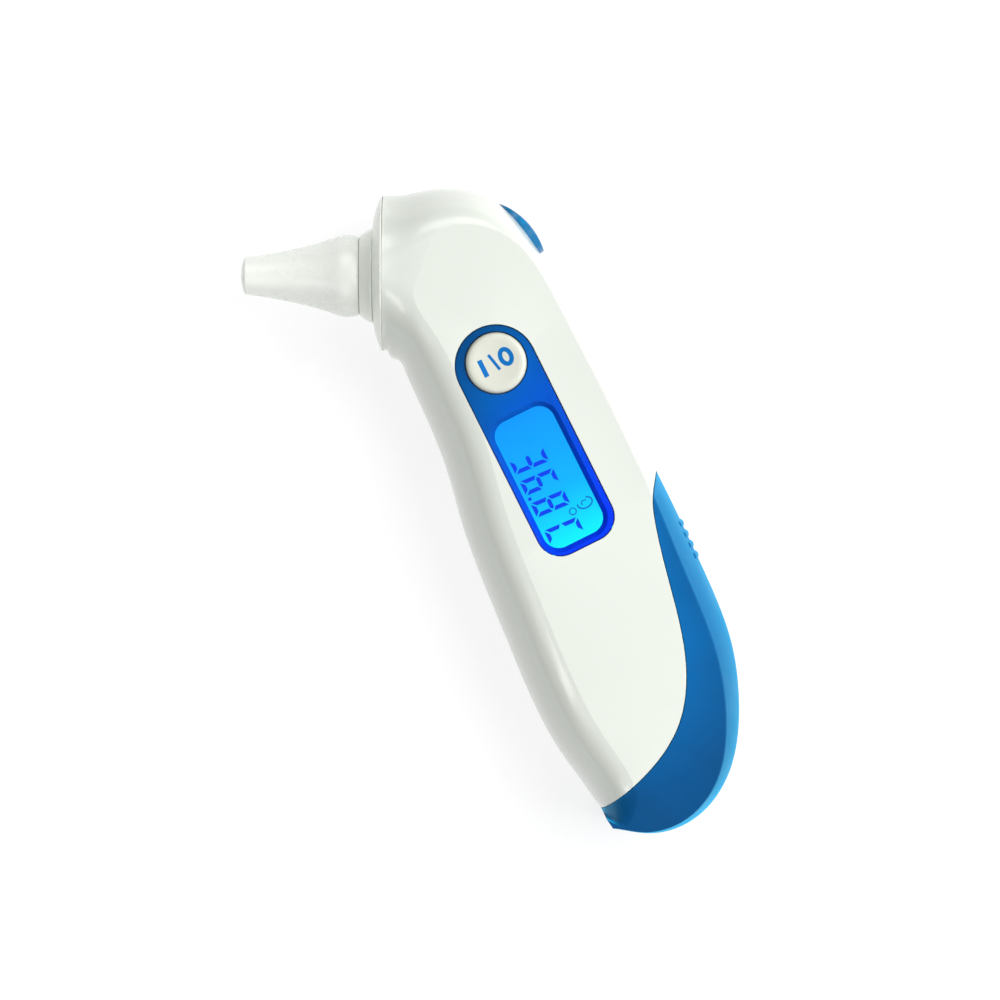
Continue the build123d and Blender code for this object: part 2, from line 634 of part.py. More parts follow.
# ---------------------------------------------------------------- power button and its switch
with BuildPart() as power_button:
    with BuildSketch(Plane.XZ):
        with BuildLine():
            low, high = BUTTON_FLANGE_Z
            Polyline((0, low), (BUTTON_FLANGE_R, low), (BUTTON_FLANGE_R, high), (BUTTON_R, high))
            Line((BUTTON_R, high), (BUTTON_R, BUTTON_TOP_Z - BUTTON_ROUND))
            Line((BUTTON_R - BUTTON_ROUND, BUTTON_TOP_Z), (BUTTON_DISH_R, BUTTON_TOP_Z))
            ThreePointArc(
                (BUTTON_DISH_R, BUTTON_TOP_Z),
                (BUTTON_DISH_R / 2, BUTTON_TOP_Z - 0.75 * BUTTON_DISH),
                (0.3, BUTTON_TOP_Z - BUTTON_DISH),
            )
            Polyline((0.3, BUTTON_TOP_Z - BUTTON_DISH), (0, BUTTON_TOP_Z - BUTTON_DISH), (0, low))
            corner = Vector(BUTTON_R - BUTTON_ROUND, BUTTON_TOP_Z - BUTTON_ROUND)
            arc_about(corner, corner + Vector(BUTTON_ROUND, 0), corner + Vector(0, BUTTON_ROUND))
        make_face()
    revolve(axis=Axis.Z)
power_button.part = power_button.part.moved(Location(on_handle(*BUTTON_AT)))
power_button.part.label = "power_button"
export_step(power_button.part, "parts/power_button.step")

SWITCH_TOP = BOARD_Z[1] + SWITCH_HEIGHT


def switch_base():
    """A tactile switch's body on the local XY plane, with the well that its plunger sinks into."""
    Box(SWITCH_SIZE, SWITCH_SIZE, SWITCH_HEIGHT, align=(Align.CENTER, Align.CENTER, Align.MIN))
    with Locations((0, 0, SWITCH_HEIGHT)):
        Cylinder(
            PLUNGER_R + PLUNGER_FIT,
            WELL_DEPTH,
            align=(Align.CENTER, Align.CENTER, Align.MAX),
            mode=Mode.SUBTRACT,
        )


with BuildPart(handle_plane(BOARD_Z[1], BUTTON_AT)) as power_switch:
    switch_base()
power_switch.part.label = "power_switch"
export_step(power_switch.part, "parts/power_switch.step")

with BuildPart() as power_plunger:
    with BuildSketch(handle_plane(SWITCH_TOP - WELL_DEPTH + BUTTON_TRAVEL + 0.2)):
        with Locations(BUTTON_AT):
            Circle(PLUNGER_R)
    extrude(amount=BUTTON_FLANGE_Z[0] - SWITCH_TOP + WELL_DEPTH - BUTTON_TRAVEL - 0.2)
power_plunger.part.label = "power_plunger"
export_step(power_plunger.part, "parts/power_plunger.step")

# ---------------------------------------------------------------- scan button and its switch
SCAN_SIDE = Plane(origin=(*SCAN_AT, Z_MID), x_dir=SCAN_DOWN, z_dir=(0, 0, 1))
SCAN_SWING = 24.0  # degrees that the domed top is turned through, in all
with BuildPart() as scan_dome:
    with BuildSketch(SCAN_SIDE):
        with BuildLine():
            ThreePointArc(*SCAN_ARC)
            Polyline(SCAN_ARC[2], (SCAN_ARC[2][0], -6), (SCAN_ARC[0][0], -6), SCAN_ARC[0])
        make_face()
    dome_centre = Vector(*SCAN_AT, Z_MID) - SCAN_OUT * SCAN_CROWN
    revolve(axis=Axis(dome_centre, SCAN_DOWN), revolution_arc=SCAN_SWING)
scan_dome.part = scan_dome.part.rotate(Axis(dome_centre, SCAN_DOWN), -SCAN_SWING / 2)

with BuildPart() as scan_button:
    with BuildSketch(scan_plane(SCAN_ROOT)):
        Ellipse(SCAN_SIZE[0] / 2, SCAN_SIZE[1] / 2)
    extrude(amount=SCAN_ROOT + 4)
    add(scan_dome.part, mode=Mode.INTERSECT)
    with BuildSketch(scan_plane(SCAN_FLANGE[1])):
        Ellipse(SCAN_SIZE[0] / 2 - 0.6, SCAN_SIZE[1] / 2 - 0.6)
    extrude(amount=SCAN_FLANGE[1] - SCAN_ROOT + 0.5)
    with BuildSketch(scan_plane(SCAN_FLANGE[1])):
        Ellipse(SCAN_SIZE[0] / 2 + 1.2, SCAN_SIZE[1] / 2 + 1.2)
    extrude(amount=SCAN_FLANGE[1] - SCAN_FLANGE[0])
scan_button.part.label = "scan_button"
export_step(scan_button.part, "parts/scan_button.step")

SCAN_SWITCH_TOP = SCAN_BOARD[0] - SWITCH_HEIGHT
with BuildPart(scan_plane(SCAN_BOARD[0])) as scan_switch:
    switch_base()
scan_switch.part.label = "scan_switch"
export_step(scan_switch.part, "parts/scan_switch.step")

with BuildPart() as scan_plunger:
    with BuildSketch(scan_plane(SCAN_FLANGE[1])):
        Circle(PLUNGER_R)
    extrude(amount=SCAN_FLANGE[1] - SCAN_SWITCH_TOP - 0.5)
scan_plunger.part.label = "scan_plunger"
export_step(scan_plunger.part, "parts/scan_plunger.step")

with BuildPart() as scan_board:
    with BuildSketch(scan_plane(SCAN_BOARD[1])):
        RectangleRounded(14.0, 12.0, 1.0)
    extrude(amount=SCAN_BOARD[1] - SCAN_BOARD[0])
scan_board.part.label = "scan_board"
export_step(scan_board.part, "parts/scan_board.step")

# ---------------------------------------------------------------- battery cover
# Tongue that hooks under the shells at the cover's upper end, on the handle plane
HOOK = [(17.9, -57), (19.2, -57), (19.2, -63), (20.6, -65), (20.6, -70), (17.9, -67)]
with BuildPart() as battery_cover:
    with BuildSketch(handle_plane()):
        with BuildLine():
            cover_outline(COVER_GAP)
        make_face()
    extrude(amount=THICKNESS)
    add(shell.part, mode=Mode.INTERSECT)
    with BuildSketch(handle_plane(Z_MID - 5)):
        with BuildLine():
            Polyline(*HOOK, close=True)
        make_face()
    extrude(amount=10)
    for step in range(RIB_COUNT):
        rib_at = along_handle(RIB_FIRST[0] - step * RIB_DRIFT, RIB_FIRST[1] - step * RIB_PITCH, Z_MID)
        sag = RIB_CROWN - math.sqrt(RIB_CROWN**2 - RIB_REACH**2)
        with BuildLine(rib_at) as rib:
            ThreePointArc((-sag, -RIB_REACH), (0, 0), (-sag, RIB_REACH))
        with BuildSketch(Plane(origin=rib.line @ 0, z_dir=rib.line % 0)):
            Circle(RIB_R)
        sweep(path=rib.line)
        with Locations(rib.line @ 0, rib.line @ 1):
            Sphere(RIB_R)
battery_cover.part.label = "battery_cover"
export_step(battery_cover.part, "parts/battery_cover.step")

# ---------------------------------------------------------------- battery tray
TRAY_FLOOR = CELL_BACK - CELL_R - 0.25
TRAY_LIP = 9.2  # how far the trough's sides reach towards the back
BULKHEAD = (1.2, 2.6)  # behind the boundary of the cover
BULKHEAD_ENDS = (-14.0, 16.5)
BULKHEAD_HALF = 15.0


def tray_block(low_back, high_back, grow, half):
    """A block over the cells, grown along the handle, half as thick as given each way."""
    with BuildPart() as block:
        with BuildSketch(handle_plane(Z_MID - half)):
            with Locations(((low_back + high_back) / 2, (TRAY_TOP + TRAY_BOTTOM) / 2)):
                Rectangle(high_back - low_back, TRAY_TOP - TRAY_BOTTOM + 2 * grow)
        extrude(amount=2 * half)
    return block.part


with BuildPart() as battery_tray:
    with BuildSketch(handle_plane(Z_MID - BULKHEAD_HALF)):
        with BuildLine():
            cover_outline(-BULKHEAD[1])
        make_face()
        with BuildLine():
            cover_outline(-BULKHEAD[0])
        make_face(mode=Mode.SUBTRACT)
        with Locations((sum(BULKHEAD_ENDS) / 2, TRAY_BOTTOM)):
            Rectangle(BULKHEAD_ENDS[1] - BULKHEAD_ENDS[0], 120, mode=Mode.INTERSECT)
    extrude(amount=2 * BULKHEAD_HALF)
    add(tray_block(TRAY_FLOOR - TRAY_WALL, TRAY_LIP, TRAY_WALL, TRAY_SIDE + TRAY_WALL))
    add(tray_block(TRAY_FLOOR, TRAY_LIP + 12, 0, TRAY_SIDE), mode=Mode.SUBTRACT)
battery_tray.part.label = "battery_tray"
export_step(battery_tray.part, "parts/battery_tray.step")

for number, (side, nub_up) in enumerate([(-1, True), (1, False)], start=1):
    with BuildPart(along_handle(CELL_BACK, CELL_TOP, Z_MID + side * CELL_PITCH / 2)) as battery_cell:
        body_top = -CELL_NUB if nub_up else 0.0
        with Locations((0, 0, body_top)):
            Cylinder(CELL_R, CELL_BODY, align=(Align.CENTER, Align.CENTER, Align.MAX))
        with Locations((0, 0, 0 if nub_up else -CELL_BODY)):
            Cylinder(1.9, CELL_NUB, align=(Align.CENTER, Align.CENTER, Align.MAX))
        chamfer(edges().filter_by(GeomType.CIRCLE).sort_by(SortBy.RADIUS)[-2:], 0.4)
    battery_cell.part.label = f"battery_cell_{number}"
    export_step(battery_cell.part, f"parts/battery_cell_{number}.step")

PLATE = 0.4
with BuildPart() as cell_contacts:
    for side in (-1, 1):
        with Locations(along_handle(CELL_BACK, TRAY_TOP - PLATE / 2, Z_MID + side * CELL_PITCH / 2).location):
            Box(8.0, 9.0, PLATE)
cell_contacts.part.label = "cell_contacts"
export_step(cell_contacts.part, "parts/cell_contacts.step")

with BuildPart(along_handle(CELL_BACK - 1.2, TRAY_BOTTOM + PLATE / 2, Z_MID)) as cell_bridge:
    Box(6.0, CELL_PITCH + 8.0, PLATE)
cell_bridge.part.label = "cell_bridge"
export_step(cell_bridge.part, "parts/cell_bridge.step")

# The springs press on the flat ends: one at the top, one at the bottom
SPRING_WIRE = 0.25
SPRING_R = 2.6
with BuildPart() as cell_springs:
    for side, seat, turn in [(1, TRAY_TOP - PLATE, -1), (-1, TRAY_BOTTOM + PLATE, 1)]:
        seat_plane = along_handle(CELL_BACK, seat, Z_MID + side * CELL_PITCH / 2)
        for ring in range(3):
            rise = turn * (SPRING_WIRE + ring * SPRING_WIRE * 1.6)
            with Locations(seat_plane.offset(rise).location):
                Torus(SPRING_R - ring * 0.2, SPRING_WIRE)
cell_springs.part.label = "cell_springs"
export_step(cell_springs.part, "parts/cell_springs.step")

# ---------------------------------------------------------------- leads, buzzer and screws
with BuildPart() as battery_leads:
    for back in (4.3, 6.5):
        lead_points = [
            on_handle(back, TRAY_TOP + TRAY_WALL, Z_MID),
            on_handle(back, CELL_SOCKET_AT[1], Z_MID),
            on_handle(back, CELL_SOCKET_AT[1], BOARD_Z[0] - SOCKET_HEIGHT),
        ]
        add(bent_rod(lead_points, [1.6], 1.0))
battery_leads.part.label = "battery_leads"
export_step(battery_leads.part, "parts/battery_leads.step")

SCAN_LEAD_START = scan_plane(SCAN_BOARD[1]).from_local_coords(Vector(4.5, 0, 0))
with BuildPart() as scan_lead:
    scan_lead_points = [
        SCAN_LEAD_START,
        SCAN_LEAD_START - SCAN_OUT * 4.0,
        on_handle(7.0, -12.0, 24.0),
        on_handle(7.0, -16.8, 24.0),
    ]
    add(bent_rod(scan_lead_points, [1.6, 2.0], 1.0))
scan_lead.part.label = "scan_lead"
export_step(scan_lead.part, "parts/scan_lead.step")

with BuildPart() as buzzer:
    with BuildSketch(handle_plane(WALL)):
        with Locations(BUZZER_AT):
            Circle(BUZZER_R)
            Circle(BUZZER_R - BUZZER_RIM, mode=Mode.SUBTRACT)
    extrude(amount=BUZZER_HEIGHT)
    with BuildSketch(handle_plane(WALL + 1.4)):
        with Locations(BUZZER_AT):
            Circle(BUZZER_R - BUZZER_RIM / 2)
    extrude(amount=0.5)
buzzer.part.label = "buzzer"
export_step(buzzer.part, "parts/buzzer.step")


def screw(place, seat, head, length, pull):
    """Round-headed cross screw with its head's seat at a height, driven towards pull (1 is up)."""
    with BuildPart(handle_plane(seat, place)) as driven:
        shank = Align.MIN if pull > 0 else Align.MAX
        outward = Align.MAX if pull > 0 else Align.MIN
        Cylinder(SCREW_R, length, align=(Align.CENTER, Align.CENTER, shank))
        Cylinder(*head, align=(Align.CENTER, Align.CENTER, outward))
        with Locations((0, 0, -pull * head[1])):
            for slot in ((2.6, 0.55), (0.55, 2.6)):
                Box(*slot, 1.4, mode=Mode.SUBTRACT)
    return driven.part


with BuildPart() as case_screws:
    for place in BOSS_AT:
        add(screw(place, SCREW_SEAT, SCREW_HEAD, 15.0, 1))
case_screws.part.label = "case_screws"
export_step(case_screws.part, "parts/case_screws.step")

with BuildPart() as board_screws:
    for place in POST_AT:
        add(screw(place, BOARD_Z[0], (1.7, 0.9), 4.5, 1))
board_screws.part.label = "board_screws"
export_step(board_screws.part, "parts/board_screws.step")
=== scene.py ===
"""Looks of the digital ear thermometer: materials, display figures, button mark, light and camera.

Lengths are in metres. The handle's own directions are read from the battery cover's slide.
"""

import json
import math

import bmesh
import bpy
from mathutils import Matrix, Vector
from mathutils.bvhtree import BVHTree


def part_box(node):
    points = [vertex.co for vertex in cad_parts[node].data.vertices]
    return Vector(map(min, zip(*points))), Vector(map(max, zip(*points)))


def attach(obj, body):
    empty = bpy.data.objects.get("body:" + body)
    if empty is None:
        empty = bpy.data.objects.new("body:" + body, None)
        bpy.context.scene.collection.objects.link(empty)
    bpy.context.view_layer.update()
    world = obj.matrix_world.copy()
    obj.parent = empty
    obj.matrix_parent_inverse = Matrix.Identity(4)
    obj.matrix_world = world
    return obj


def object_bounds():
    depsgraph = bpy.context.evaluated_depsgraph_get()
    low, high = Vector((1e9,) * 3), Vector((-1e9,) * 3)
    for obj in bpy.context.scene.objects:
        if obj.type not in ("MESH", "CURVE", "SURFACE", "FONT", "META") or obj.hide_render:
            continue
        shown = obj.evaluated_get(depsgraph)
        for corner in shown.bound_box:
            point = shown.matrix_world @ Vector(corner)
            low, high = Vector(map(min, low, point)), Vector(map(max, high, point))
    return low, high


MM = 0.001
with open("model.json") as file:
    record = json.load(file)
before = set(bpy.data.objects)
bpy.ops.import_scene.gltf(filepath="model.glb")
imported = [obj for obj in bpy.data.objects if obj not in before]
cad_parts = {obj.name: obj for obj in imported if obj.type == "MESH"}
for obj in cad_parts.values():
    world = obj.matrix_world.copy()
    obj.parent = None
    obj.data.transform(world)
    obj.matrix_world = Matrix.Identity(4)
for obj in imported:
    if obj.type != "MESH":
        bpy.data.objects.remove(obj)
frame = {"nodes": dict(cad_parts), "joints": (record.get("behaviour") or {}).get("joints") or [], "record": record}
cad_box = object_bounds()
nodes = frame["nodes"]
joints = {joint["name"]: joint for joint in frame["joints"]}

# ---------------------------------------------------------------- places taken from the frame
UP = -Vector(joints["battery_cover_slide"]["axis"]).normalized()
BACK = Vector((UP.y, -UP.x, 0.0))
LOW, HIGH = Vector(cad_box[0]), Vector(cad_box[1])


def middle(node):
    """Centre of a CAD node's box."""
    low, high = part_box(node)
    return (low + high) / 2


DISPLAY_CENTRE = middle("display_lens")
LCD_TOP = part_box("lcd_panel")[1].z
BUTTON_CENTRE = middle("power_button")


def beside(centre, back, up, height):
    """A point at a height, moved from a centre along the handle's directions, in millimetres."""
    point = centre + (BACK * back + UP * up) * MM
    return Vector((point.x, point.y, height))


# ---------------------------------------------------------------- materials
def srgb(red, green, blue):
    """Linear colour from the 0 to 255 values of a display."""
    linear = []
    for value in (red, green, blue):
        level = value / 255
        linear.append(level / 12.92 if level <= 0.04045 else ((level + 0.055) / 1.055) ** 2.4)
    return (*linear, 1.0)


def scaled(colour, factor):
    """A colour made lighter or darker."""
    return (*(min(1.0, channel * factor) for channel in colour[:3]), 1.0)


WHITE = (1.0, 1.0, 1.0, 1.0)
# Direction of the display frame's painted shade and light: across the frame, from the corner above the button to
# the far corner of the window
FRAME_SHADE_RUN = (BACK * 0.45 - UP * 0.9).normalized()
FRAME_SHADE_START = (BUTTON_CENTRE - BACK * 7 * MM + UP * 9 * MM).dot(FRAME_SHADE_RUN)


class Shader:
    """A material's node tree, with short ways to add what the finishes share."""

    def __init__(self, name, round_edge=0.0):
        self.round_edge = round_edge
        self.material = bpy.data.materials.new(name)
        self.material.use_nodes = True
        self.tree = self.material.node_tree
        self.base = self.tree.nodes["Principled BSDF"]
        self.place = self.add("ShaderNodeTexCoord").outputs["Object"]

    def add(self, kind, **values):
        node = self.tree.nodes.new(kind)
        for key, value in values.items():
            setattr(node, key, value)
        return node

    def link(self, source, target):
        self.tree.links.new(source, target)

    def set(self, **values):
        """Sets the shader's own sockets; an underscore in a name is a space."""
        for key, value in values.items():
            self.base.inputs[key.replace("_", " ")].default_value = value

    def noise(self, size, detail=3.0):
        """Noise with features of a size in metres."""
        node = self.add("ShaderNodeTexNoise")
        node.inputs["Scale"].default_value = 1.0 / size
        node.inputs["Detail"].default_value = detail
        node.inputs["Roughness"].default_value = 0.55
        self.link(self.place, node.inputs["Vector"])
        return node.outputs["Fac"]

    def ramp(self, factor, stops):
        """Colour ramp over (place, colour) stops."""
        node = self.add("ShaderNodeValToRGB")
        elements = node.color_ramp.elements
        while len(elements) < len(stops):
            elements.new(0.5)
        for element, (place, colour) in zip(elements, stops):
            element.position = place
            element.color = colour
        self.link(factor, node.inputs["Fac"])
        return node.outputs["Color"]

    def spread(self, factor, low, high):
        """A factor mapped to run from low to high."""
        node = self.add("ShaderNodeMapRange")
        node.inputs["From Min"].default_value = 0.3
        node.inputs["From Max"].default_value = 0.7
        node.inputs["To Min"].default_value = low
        node.inputs["To Max"].default_value = high
        self.link(factor, node.inputs["Value"])
        return node.outputs["Result"]

    def bumps(self, layers):
        """Stacks (height factor, depth in metres, strength) layers into the shader's normal."""
        normal = None
        for height, depth, strength in layers:
            node = self.add("ShaderNodeBump")
            node.inputs["Distance"].default_value = depth
            node.inputs["Strength"].default_value = strength
            self.link(height, node.inputs["Height"])
            if normal is None and self.round_edge:
                bevel = self.add("ShaderNodeBevel", samples=4)
                bevel.inputs["Radius"].default_value = self.round_edge
                normal = bevel.outputs["Normal"]
            if normal:
                self.link(normal, node.inputs["Normal"])
            normal = node.outputs["Normal"]
        self.link(normal, self.base.inputs["Normal"])

    def along(self, direction, start, end):
        """0 to 1 along a direction, between two distances in metres."""
        dot = self.add("ShaderNodeVectorMath", operation="DOT_PRODUCT")
        dot.inputs[1].default_value = direction
        self.link(self.place, dot.inputs[0])
        run = self.add("ShaderNodeMapRange")
        run.inputs["From Min"].default_value = start
        run.inputs["From Max"].default_value = end
        self.link(dot.outputs["Value"], run.inputs["Value"])
        return run.outputs["Result"]

    def times(self, colour, factor):
        """Two colours multiplied."""
        mix = self.add("ShaderNodeMix", data_type="RGBA", blend_type="MULTIPLY")
        mix.inputs["Factor"].default_value = 1.0
        self.link(colour, mix.inputs["A"])
        self.link(factor, mix.inputs["B"])
        return mix.outputs["Result"]

    def edge_rub_and_painted_light(self, colour, light, dark):
        """Colour with the sharp outer edges lighter, partly as rubbed plastic and partly as a painted highlight,
        and the creases a little darker as painted shade.
        """
        curvature = self.add("ShaderNodeNewGeometry").outputs["Pointiness"]
        stops = [(0.47, scaled(colour, dark)), (0.5, colour), (0.53, colour), (0.6, scaled(colour, light))]
        return self.ramp(curvature, stops)


def moulded(
    name, colour, rough, grain, depth, patch=0.02, tone=0.03, rub_and_painted_light=(1.05, 0.95), edge=0.0, shade=(), **extra
):
    """Moulded plastic: its colour drifts slightly, its gloss varies in patches, and it has a fine grain. Its edges
    are lighter, partly as rubbed plastic and partly as a painted highlight, its creases darker as painted shade,
    and a painted shade can run along one direction.
    """
    shader = Shader(name, edge)
    # Painted light: edges lighter, partly rubbed plastic and partly a painted highlight; creases darker as painted
    # shade.
    rubbed_and_painted = shader.edge_rub_and_painted_light(colour, *rub_and_painted_light)
    drift = shader.ramp(
        shader.noise(patch, 4.0),
        [(0.3, (*(1 - tone,) * 3, 1.0)), (0.7, (1.0, 1.0, 1.0, 1.0))],
    )
    blend = shader.times(rubbed_and_painted, drift)
    # Painted shade and light: the colour is scaled along one direction.
    if shade:
        (direction, start, end), stops = shade
        blend = shader.times(blend, shader.ramp(shader.along(direction, start, end), stops))
    shader.link(blend, shader.base.inputs["Base Color"])
    patches = shader.spread(shader.noise(patch * 0.6, 5.0), rough * 0.85, rough * 1.2)
    shader.link(patches, shader.base.inputs["Roughness"])
    shader.bumps([(shader.noise(grain, 2.0), depth, 0.5), (shader.noise(grain * 14, 1.0), depth * 4, 0.15)])
    shader.set(IOR=1.5, **extra)
    return shader.material


def shell_white():
    """Glossy white ABS, faintly green in its depth."""
    return moulded(
        "shell_white", srgb(219, 223, 215), 0.2, 0.0006, 0.000003, tone=0.012, edge=0.2 * MM,
        Coat_Weight=0.3, Coat_Roughness=0.08,
    )


def cap_white():
    """The same plastic on the nose cap and the collar, a little duller, and painted lighter than the shell's white
    as light on the collar in the head's shade.
    """
    return moulded(
        # Painted light: a lighter white than the shell's, for the collar in shade.
        "cap_white", srgb(244, 248, 239), 0.3, 0.0005, 0.000004, tone=0.015, edge=0.15 * MM,
        Coat_Weight=0.2, Coat_Roughness=0.15,
    )


def button_white():
    """Satin white of the round button."""
    return moulded("button_white", srgb(210, 212, 199), 0.34, 0.0004, 0.000005, tone=0.02, edge=0.15 * MM)


def cover_blue():
    """Fine-grained satin blue of the battery cover, painted darker towards the toe as shade."""
    return moulded(
        "cover_blue", srgb(0, 88, 150), 0.45, 0.0003, 0.000012, patch=0.012, tone=0.04, rub_and_painted_light=(1.3, 0.9),
        edge=0.25 * MM, Specular_IOR_Level=0.1, Sheen_Weight=1.0, Sheen_Roughness=0.5,
        Sheen_Tint=srgb(50, 200, 255),
        # Painted shade: the blue darkens towards the toe.
        shade=((-UP, 95 * MM, 122 * MM), [(0.0, WHITE), (1.0, (0.5, 0.6, 0.64, 1.0))]),
    )


def scan_blue():
    """Glossier blue of the scan button."""
    return moulded(
        "scan_blue", srgb(8, 112, 165), 0.25, 0.0003, 0.00001, tone=0.03, rub_and_painted_light=(1.3, 0.9),
        Coat_Weight=0.3, Coat_Roughness=0.1,
    )


def panel_blue():
    """Deep glossy blue of the display frame, with painted shade and light across it: darker above the button,
    brighter blue towards the far corner of the window.
    """
    return moulded(
        "panel_blue", srgb(0, 84, 178), 0.22, 0.0005, 0.000005, tone=0.03, rub_and_painted_light=(1.2, 0.85), edge=0.15 * MM,
        # Painted shade and light across the frame: darker above the button, brighter blue towards the far corner
        # of the window.
        Specular_IOR_Level=0.15, shade=((FRAME_SHADE_RUN, FRAME_SHADE_START, FRAME_SHADE_START + 50 * MM), [
            (0.0, (1.0, 0.5, 0.32, 1.0)), (0.3, (1.0, 0.92, 0.75, 1.0)), (0.45, (1.0, 0.88, 1.05, 1.0)),
            (1.0, (1.0, 0.4, 1.8, 1.0)),
        ]),
    )


def probe_film():
    """Milky, smooth polyethylene of the probe cover."""
    return moulded(
        "probe_film", srgb(240, 243, 236), 0.27, 0.0009, 0.000003, patch=0.006, tone=0.012, rub_and_painted_light=(1.0, 1.0),
        Coat_Weight=0.2, Coat_Roughness=0.15,
    )


def barrel_white():
    """Off-white glass-filled plastic inside the probe cover."""
    return moulded("barrel_white", srgb(222, 226, 214), 0.45, 0.0003, 0.00002, tone=0.05)


def clear_lens():
    """Clear acrylic window over the display."""
    shader = Shader("clear_lens")
    shader.set(Base_Color=(0.92, 0.98, 1.0, 1.0), IOR=1.3, Transmission_Weight=1.0, Specular_IOR_Level=0.1)
    shader.link(shader.spread(shader.noise(0.004), 0.01, 0.05), shader.base.inputs["Roughness"])
    shader.bumps([(shader.noise(0.01, 1.0), 0.00001, 0.2)])
    return shader.material


def lcd_light():
    """Lit display: blue at the top, cyan at the foot."""
    shader = Shader("lcd_light")
    foot = DISPLAY_CENTRE.dot(-UP)
    run = shader.along(-UP, foot - 16 * MM, foot + 16 * MM)
    stops = [  # from the top of the window to its foot
        (0.0, srgb(0, 155, 255)),
        (0.35, srgb(0, 170, 255)),
        (0.6, srgb(0, 182, 255)),
        (0.82, srgb(0, 218, 255)),
        (1.0, srgb(0, 252, 248)),
    ]
    shader.link(shader.ramp(run, stops), shader.base.inputs["Emission Color"])
    grain = shader.spread(shader.noise(0.0003), 0.97, 1.05)
    shader.link(grain, shader.base.inputs["Emission Strength"])
    dark = shader.ramp(run, [(0.0, srgb(0, 30, 80)), (1.0, srgb(0, 60, 80))])
    shader.link(dark, shader.base.inputs["Base Color"])
    shader.set(Roughness=0.5, Specular_IOR_Level=0.0)
    return shader.material


def display_ink(name, colour, strength):
    """Dark crystal of the display's figures, lit from behind."""
    shader = Shader(name)
    grain = shader.noise(0.0005)
    tint = shader.ramp(grain, [(0.3, scaled(colour, 0.9)), (0.7, scaled(colour, 1.05))])
    shader.link(tint, shader.base.inputs["Emission Color"])
    shader.set(
        Base_Color=scaled(colour, 0.2), Emission_Strength=strength, Roughness=0.5, Specular_IOR_Level=0.0,
    )
    return shader.material


def button_ink():
    """Pad-printed blue of the button's mark."""
    return moulded(
        "button_ink", srgb(0, 108, 184), 0.5, 0.00015, 0.000008, patch=0.002, tone=0.1,
        Specular_IOR_Level=0.15,
    )


def metal(name, colour, rough, brushed=0.0):
    """Metal with fine scratches, flattened towards the display's plane where it is brushed."""
    shader = Shader(name)
    stretch = shader.add("ShaderNodeMapping")
    stretch.inputs["Scale"].default_value = (1.0, 1.0, 1.0 + 12 * brushed)
    shader.link(shader.place, stretch.inputs["Vector"])
    shader.place = stretch.outputs["Vector"]
    fine = shader.noise(0.0004, 6.0)
    tint = shader.ramp(fine, [(0.2, scaled(colour, 0.8)), (0.8, colour)])
    shader.link(tint, shader.base.inputs["Base Color"])
    shader.link(shader.spread(fine, rough * 0.8, rough * 1.3), shader.base.inputs["Roughness"])
    shader.bumps([(fine, 0.00001, 0.4)])
    shader.set(Metallic=1.0)
    return shader.material


def board_green():
    """Solder mask with the faint relief of copper tracks."""
    shader = Shader("board_green")
    tracks = shader.add("ShaderNodeTexBrick")
    tracks.inputs["Scale"].default_value = 260.0
    tracks.inputs["Mortar Size"].default_value = 0.03
    tracks.inputs["Color1"].default_value = srgb(14, 92, 52)
    tracks.inputs["Color2"].default_value = srgb(10, 78, 44)
    tracks.inputs["Mortar"].default_value = srgb(40, 130, 80)
    shader.link(shader.place, tracks.inputs["Vector"])
    shader.link(tracks.outputs["Color"], shader.base.inputs["Base Color"])
    shader.link(shader.spread(shader.noise(0.002), 0.25, 0.4), shader.base.inputs["Roughness"])
    shader.bumps([(tracks.outputs["Fac"], 0.00003, 0.6)])
    return shader.material


GREY = srgb(120, 122, 125)
FINISHES = {
    "shell_white": shell_white(),
    "cap_white": cap_white(),
    "button_white": button_white(),
    "cover_blue": cover_blue(),
    "scan_blue": scan_blue(),
    "panel_blue": panel_blue(),
    "probe_film": probe_film(),
    "barrel_white": barrel_white(),
    "clear_lens": clear_lens(),
    "lcd_glass": lcd_light(),
    "light_guide": moulded("light_guide", srgb(190, 230, 240), 0.2, 0.0004, 0.00001, Transmission_Weight=0.6),
    "foam_black": moulded("foam_black", srgb(28, 28, 30), 0.85, 0.0004, 0.00008),
    "strip_rubber": moulded("strip_rubber", srgb(160, 60, 90), 0.7, 0.0003, 0.00003),
    "board_green": board_green(),
    "chip_black": moulded("chip_black", srgb(30, 30, 33), 0.55, 0.0002, 0.00002),
    "socket_cream": moulded("socket_cream", srgb(226, 216, 190), 0.5, 0.0003, 0.00001),
    "switch_steel": metal("switch_steel", srgb(190, 190, 192), 0.35, 0.5),
    "plunger_grey": moulded("plunger_grey", srgb(60, 60, 64), 0.5, 0.0003, 0.00001),
    "sensor_steel": metal("sensor_steel", srgb(205, 205, 205), 0.25),
    "sleeve_metal": metal("sleeve_metal", srgb(215, 216, 220), 0.35, 1.0),
    "guide_gold": metal("guide_gold", srgb(240, 205, 120), 0.12),
    "window_glass": moulded(
        "window_glass", srgb(120, 130, 140), 0.05, 0.001, 0.000002, Transmission_Weight=0.7,
    ),
    "lead_black": moulded("lead_black", srgb(25, 25, 27), 0.5, 0.0006, 0.00003),
    "lead_red": moulded("lead_red", srgb(170, 20, 20), 0.5, 0.0006, 0.00003),
    "tray_white": moulded("tray_white", srgb(222, 224, 216), 0.5, 0.0003, 0.00002, tone=0.04),
    "cell_jacket": moulded("cell_jacket", srgb(40, 96, 150), 0.3, 0.0008, 0.00001, Metallic=0.6),
    "contact_steel": metal("contact_steel", srgb(215, 213, 208), 0.2, 0.3),
    "buzzer_brass": metal("buzzer_brass", srgb(220, 180, 100), 0.3),
    "screw_steel": metal("screw_steel", GREY, 0.35, 0.4),
}
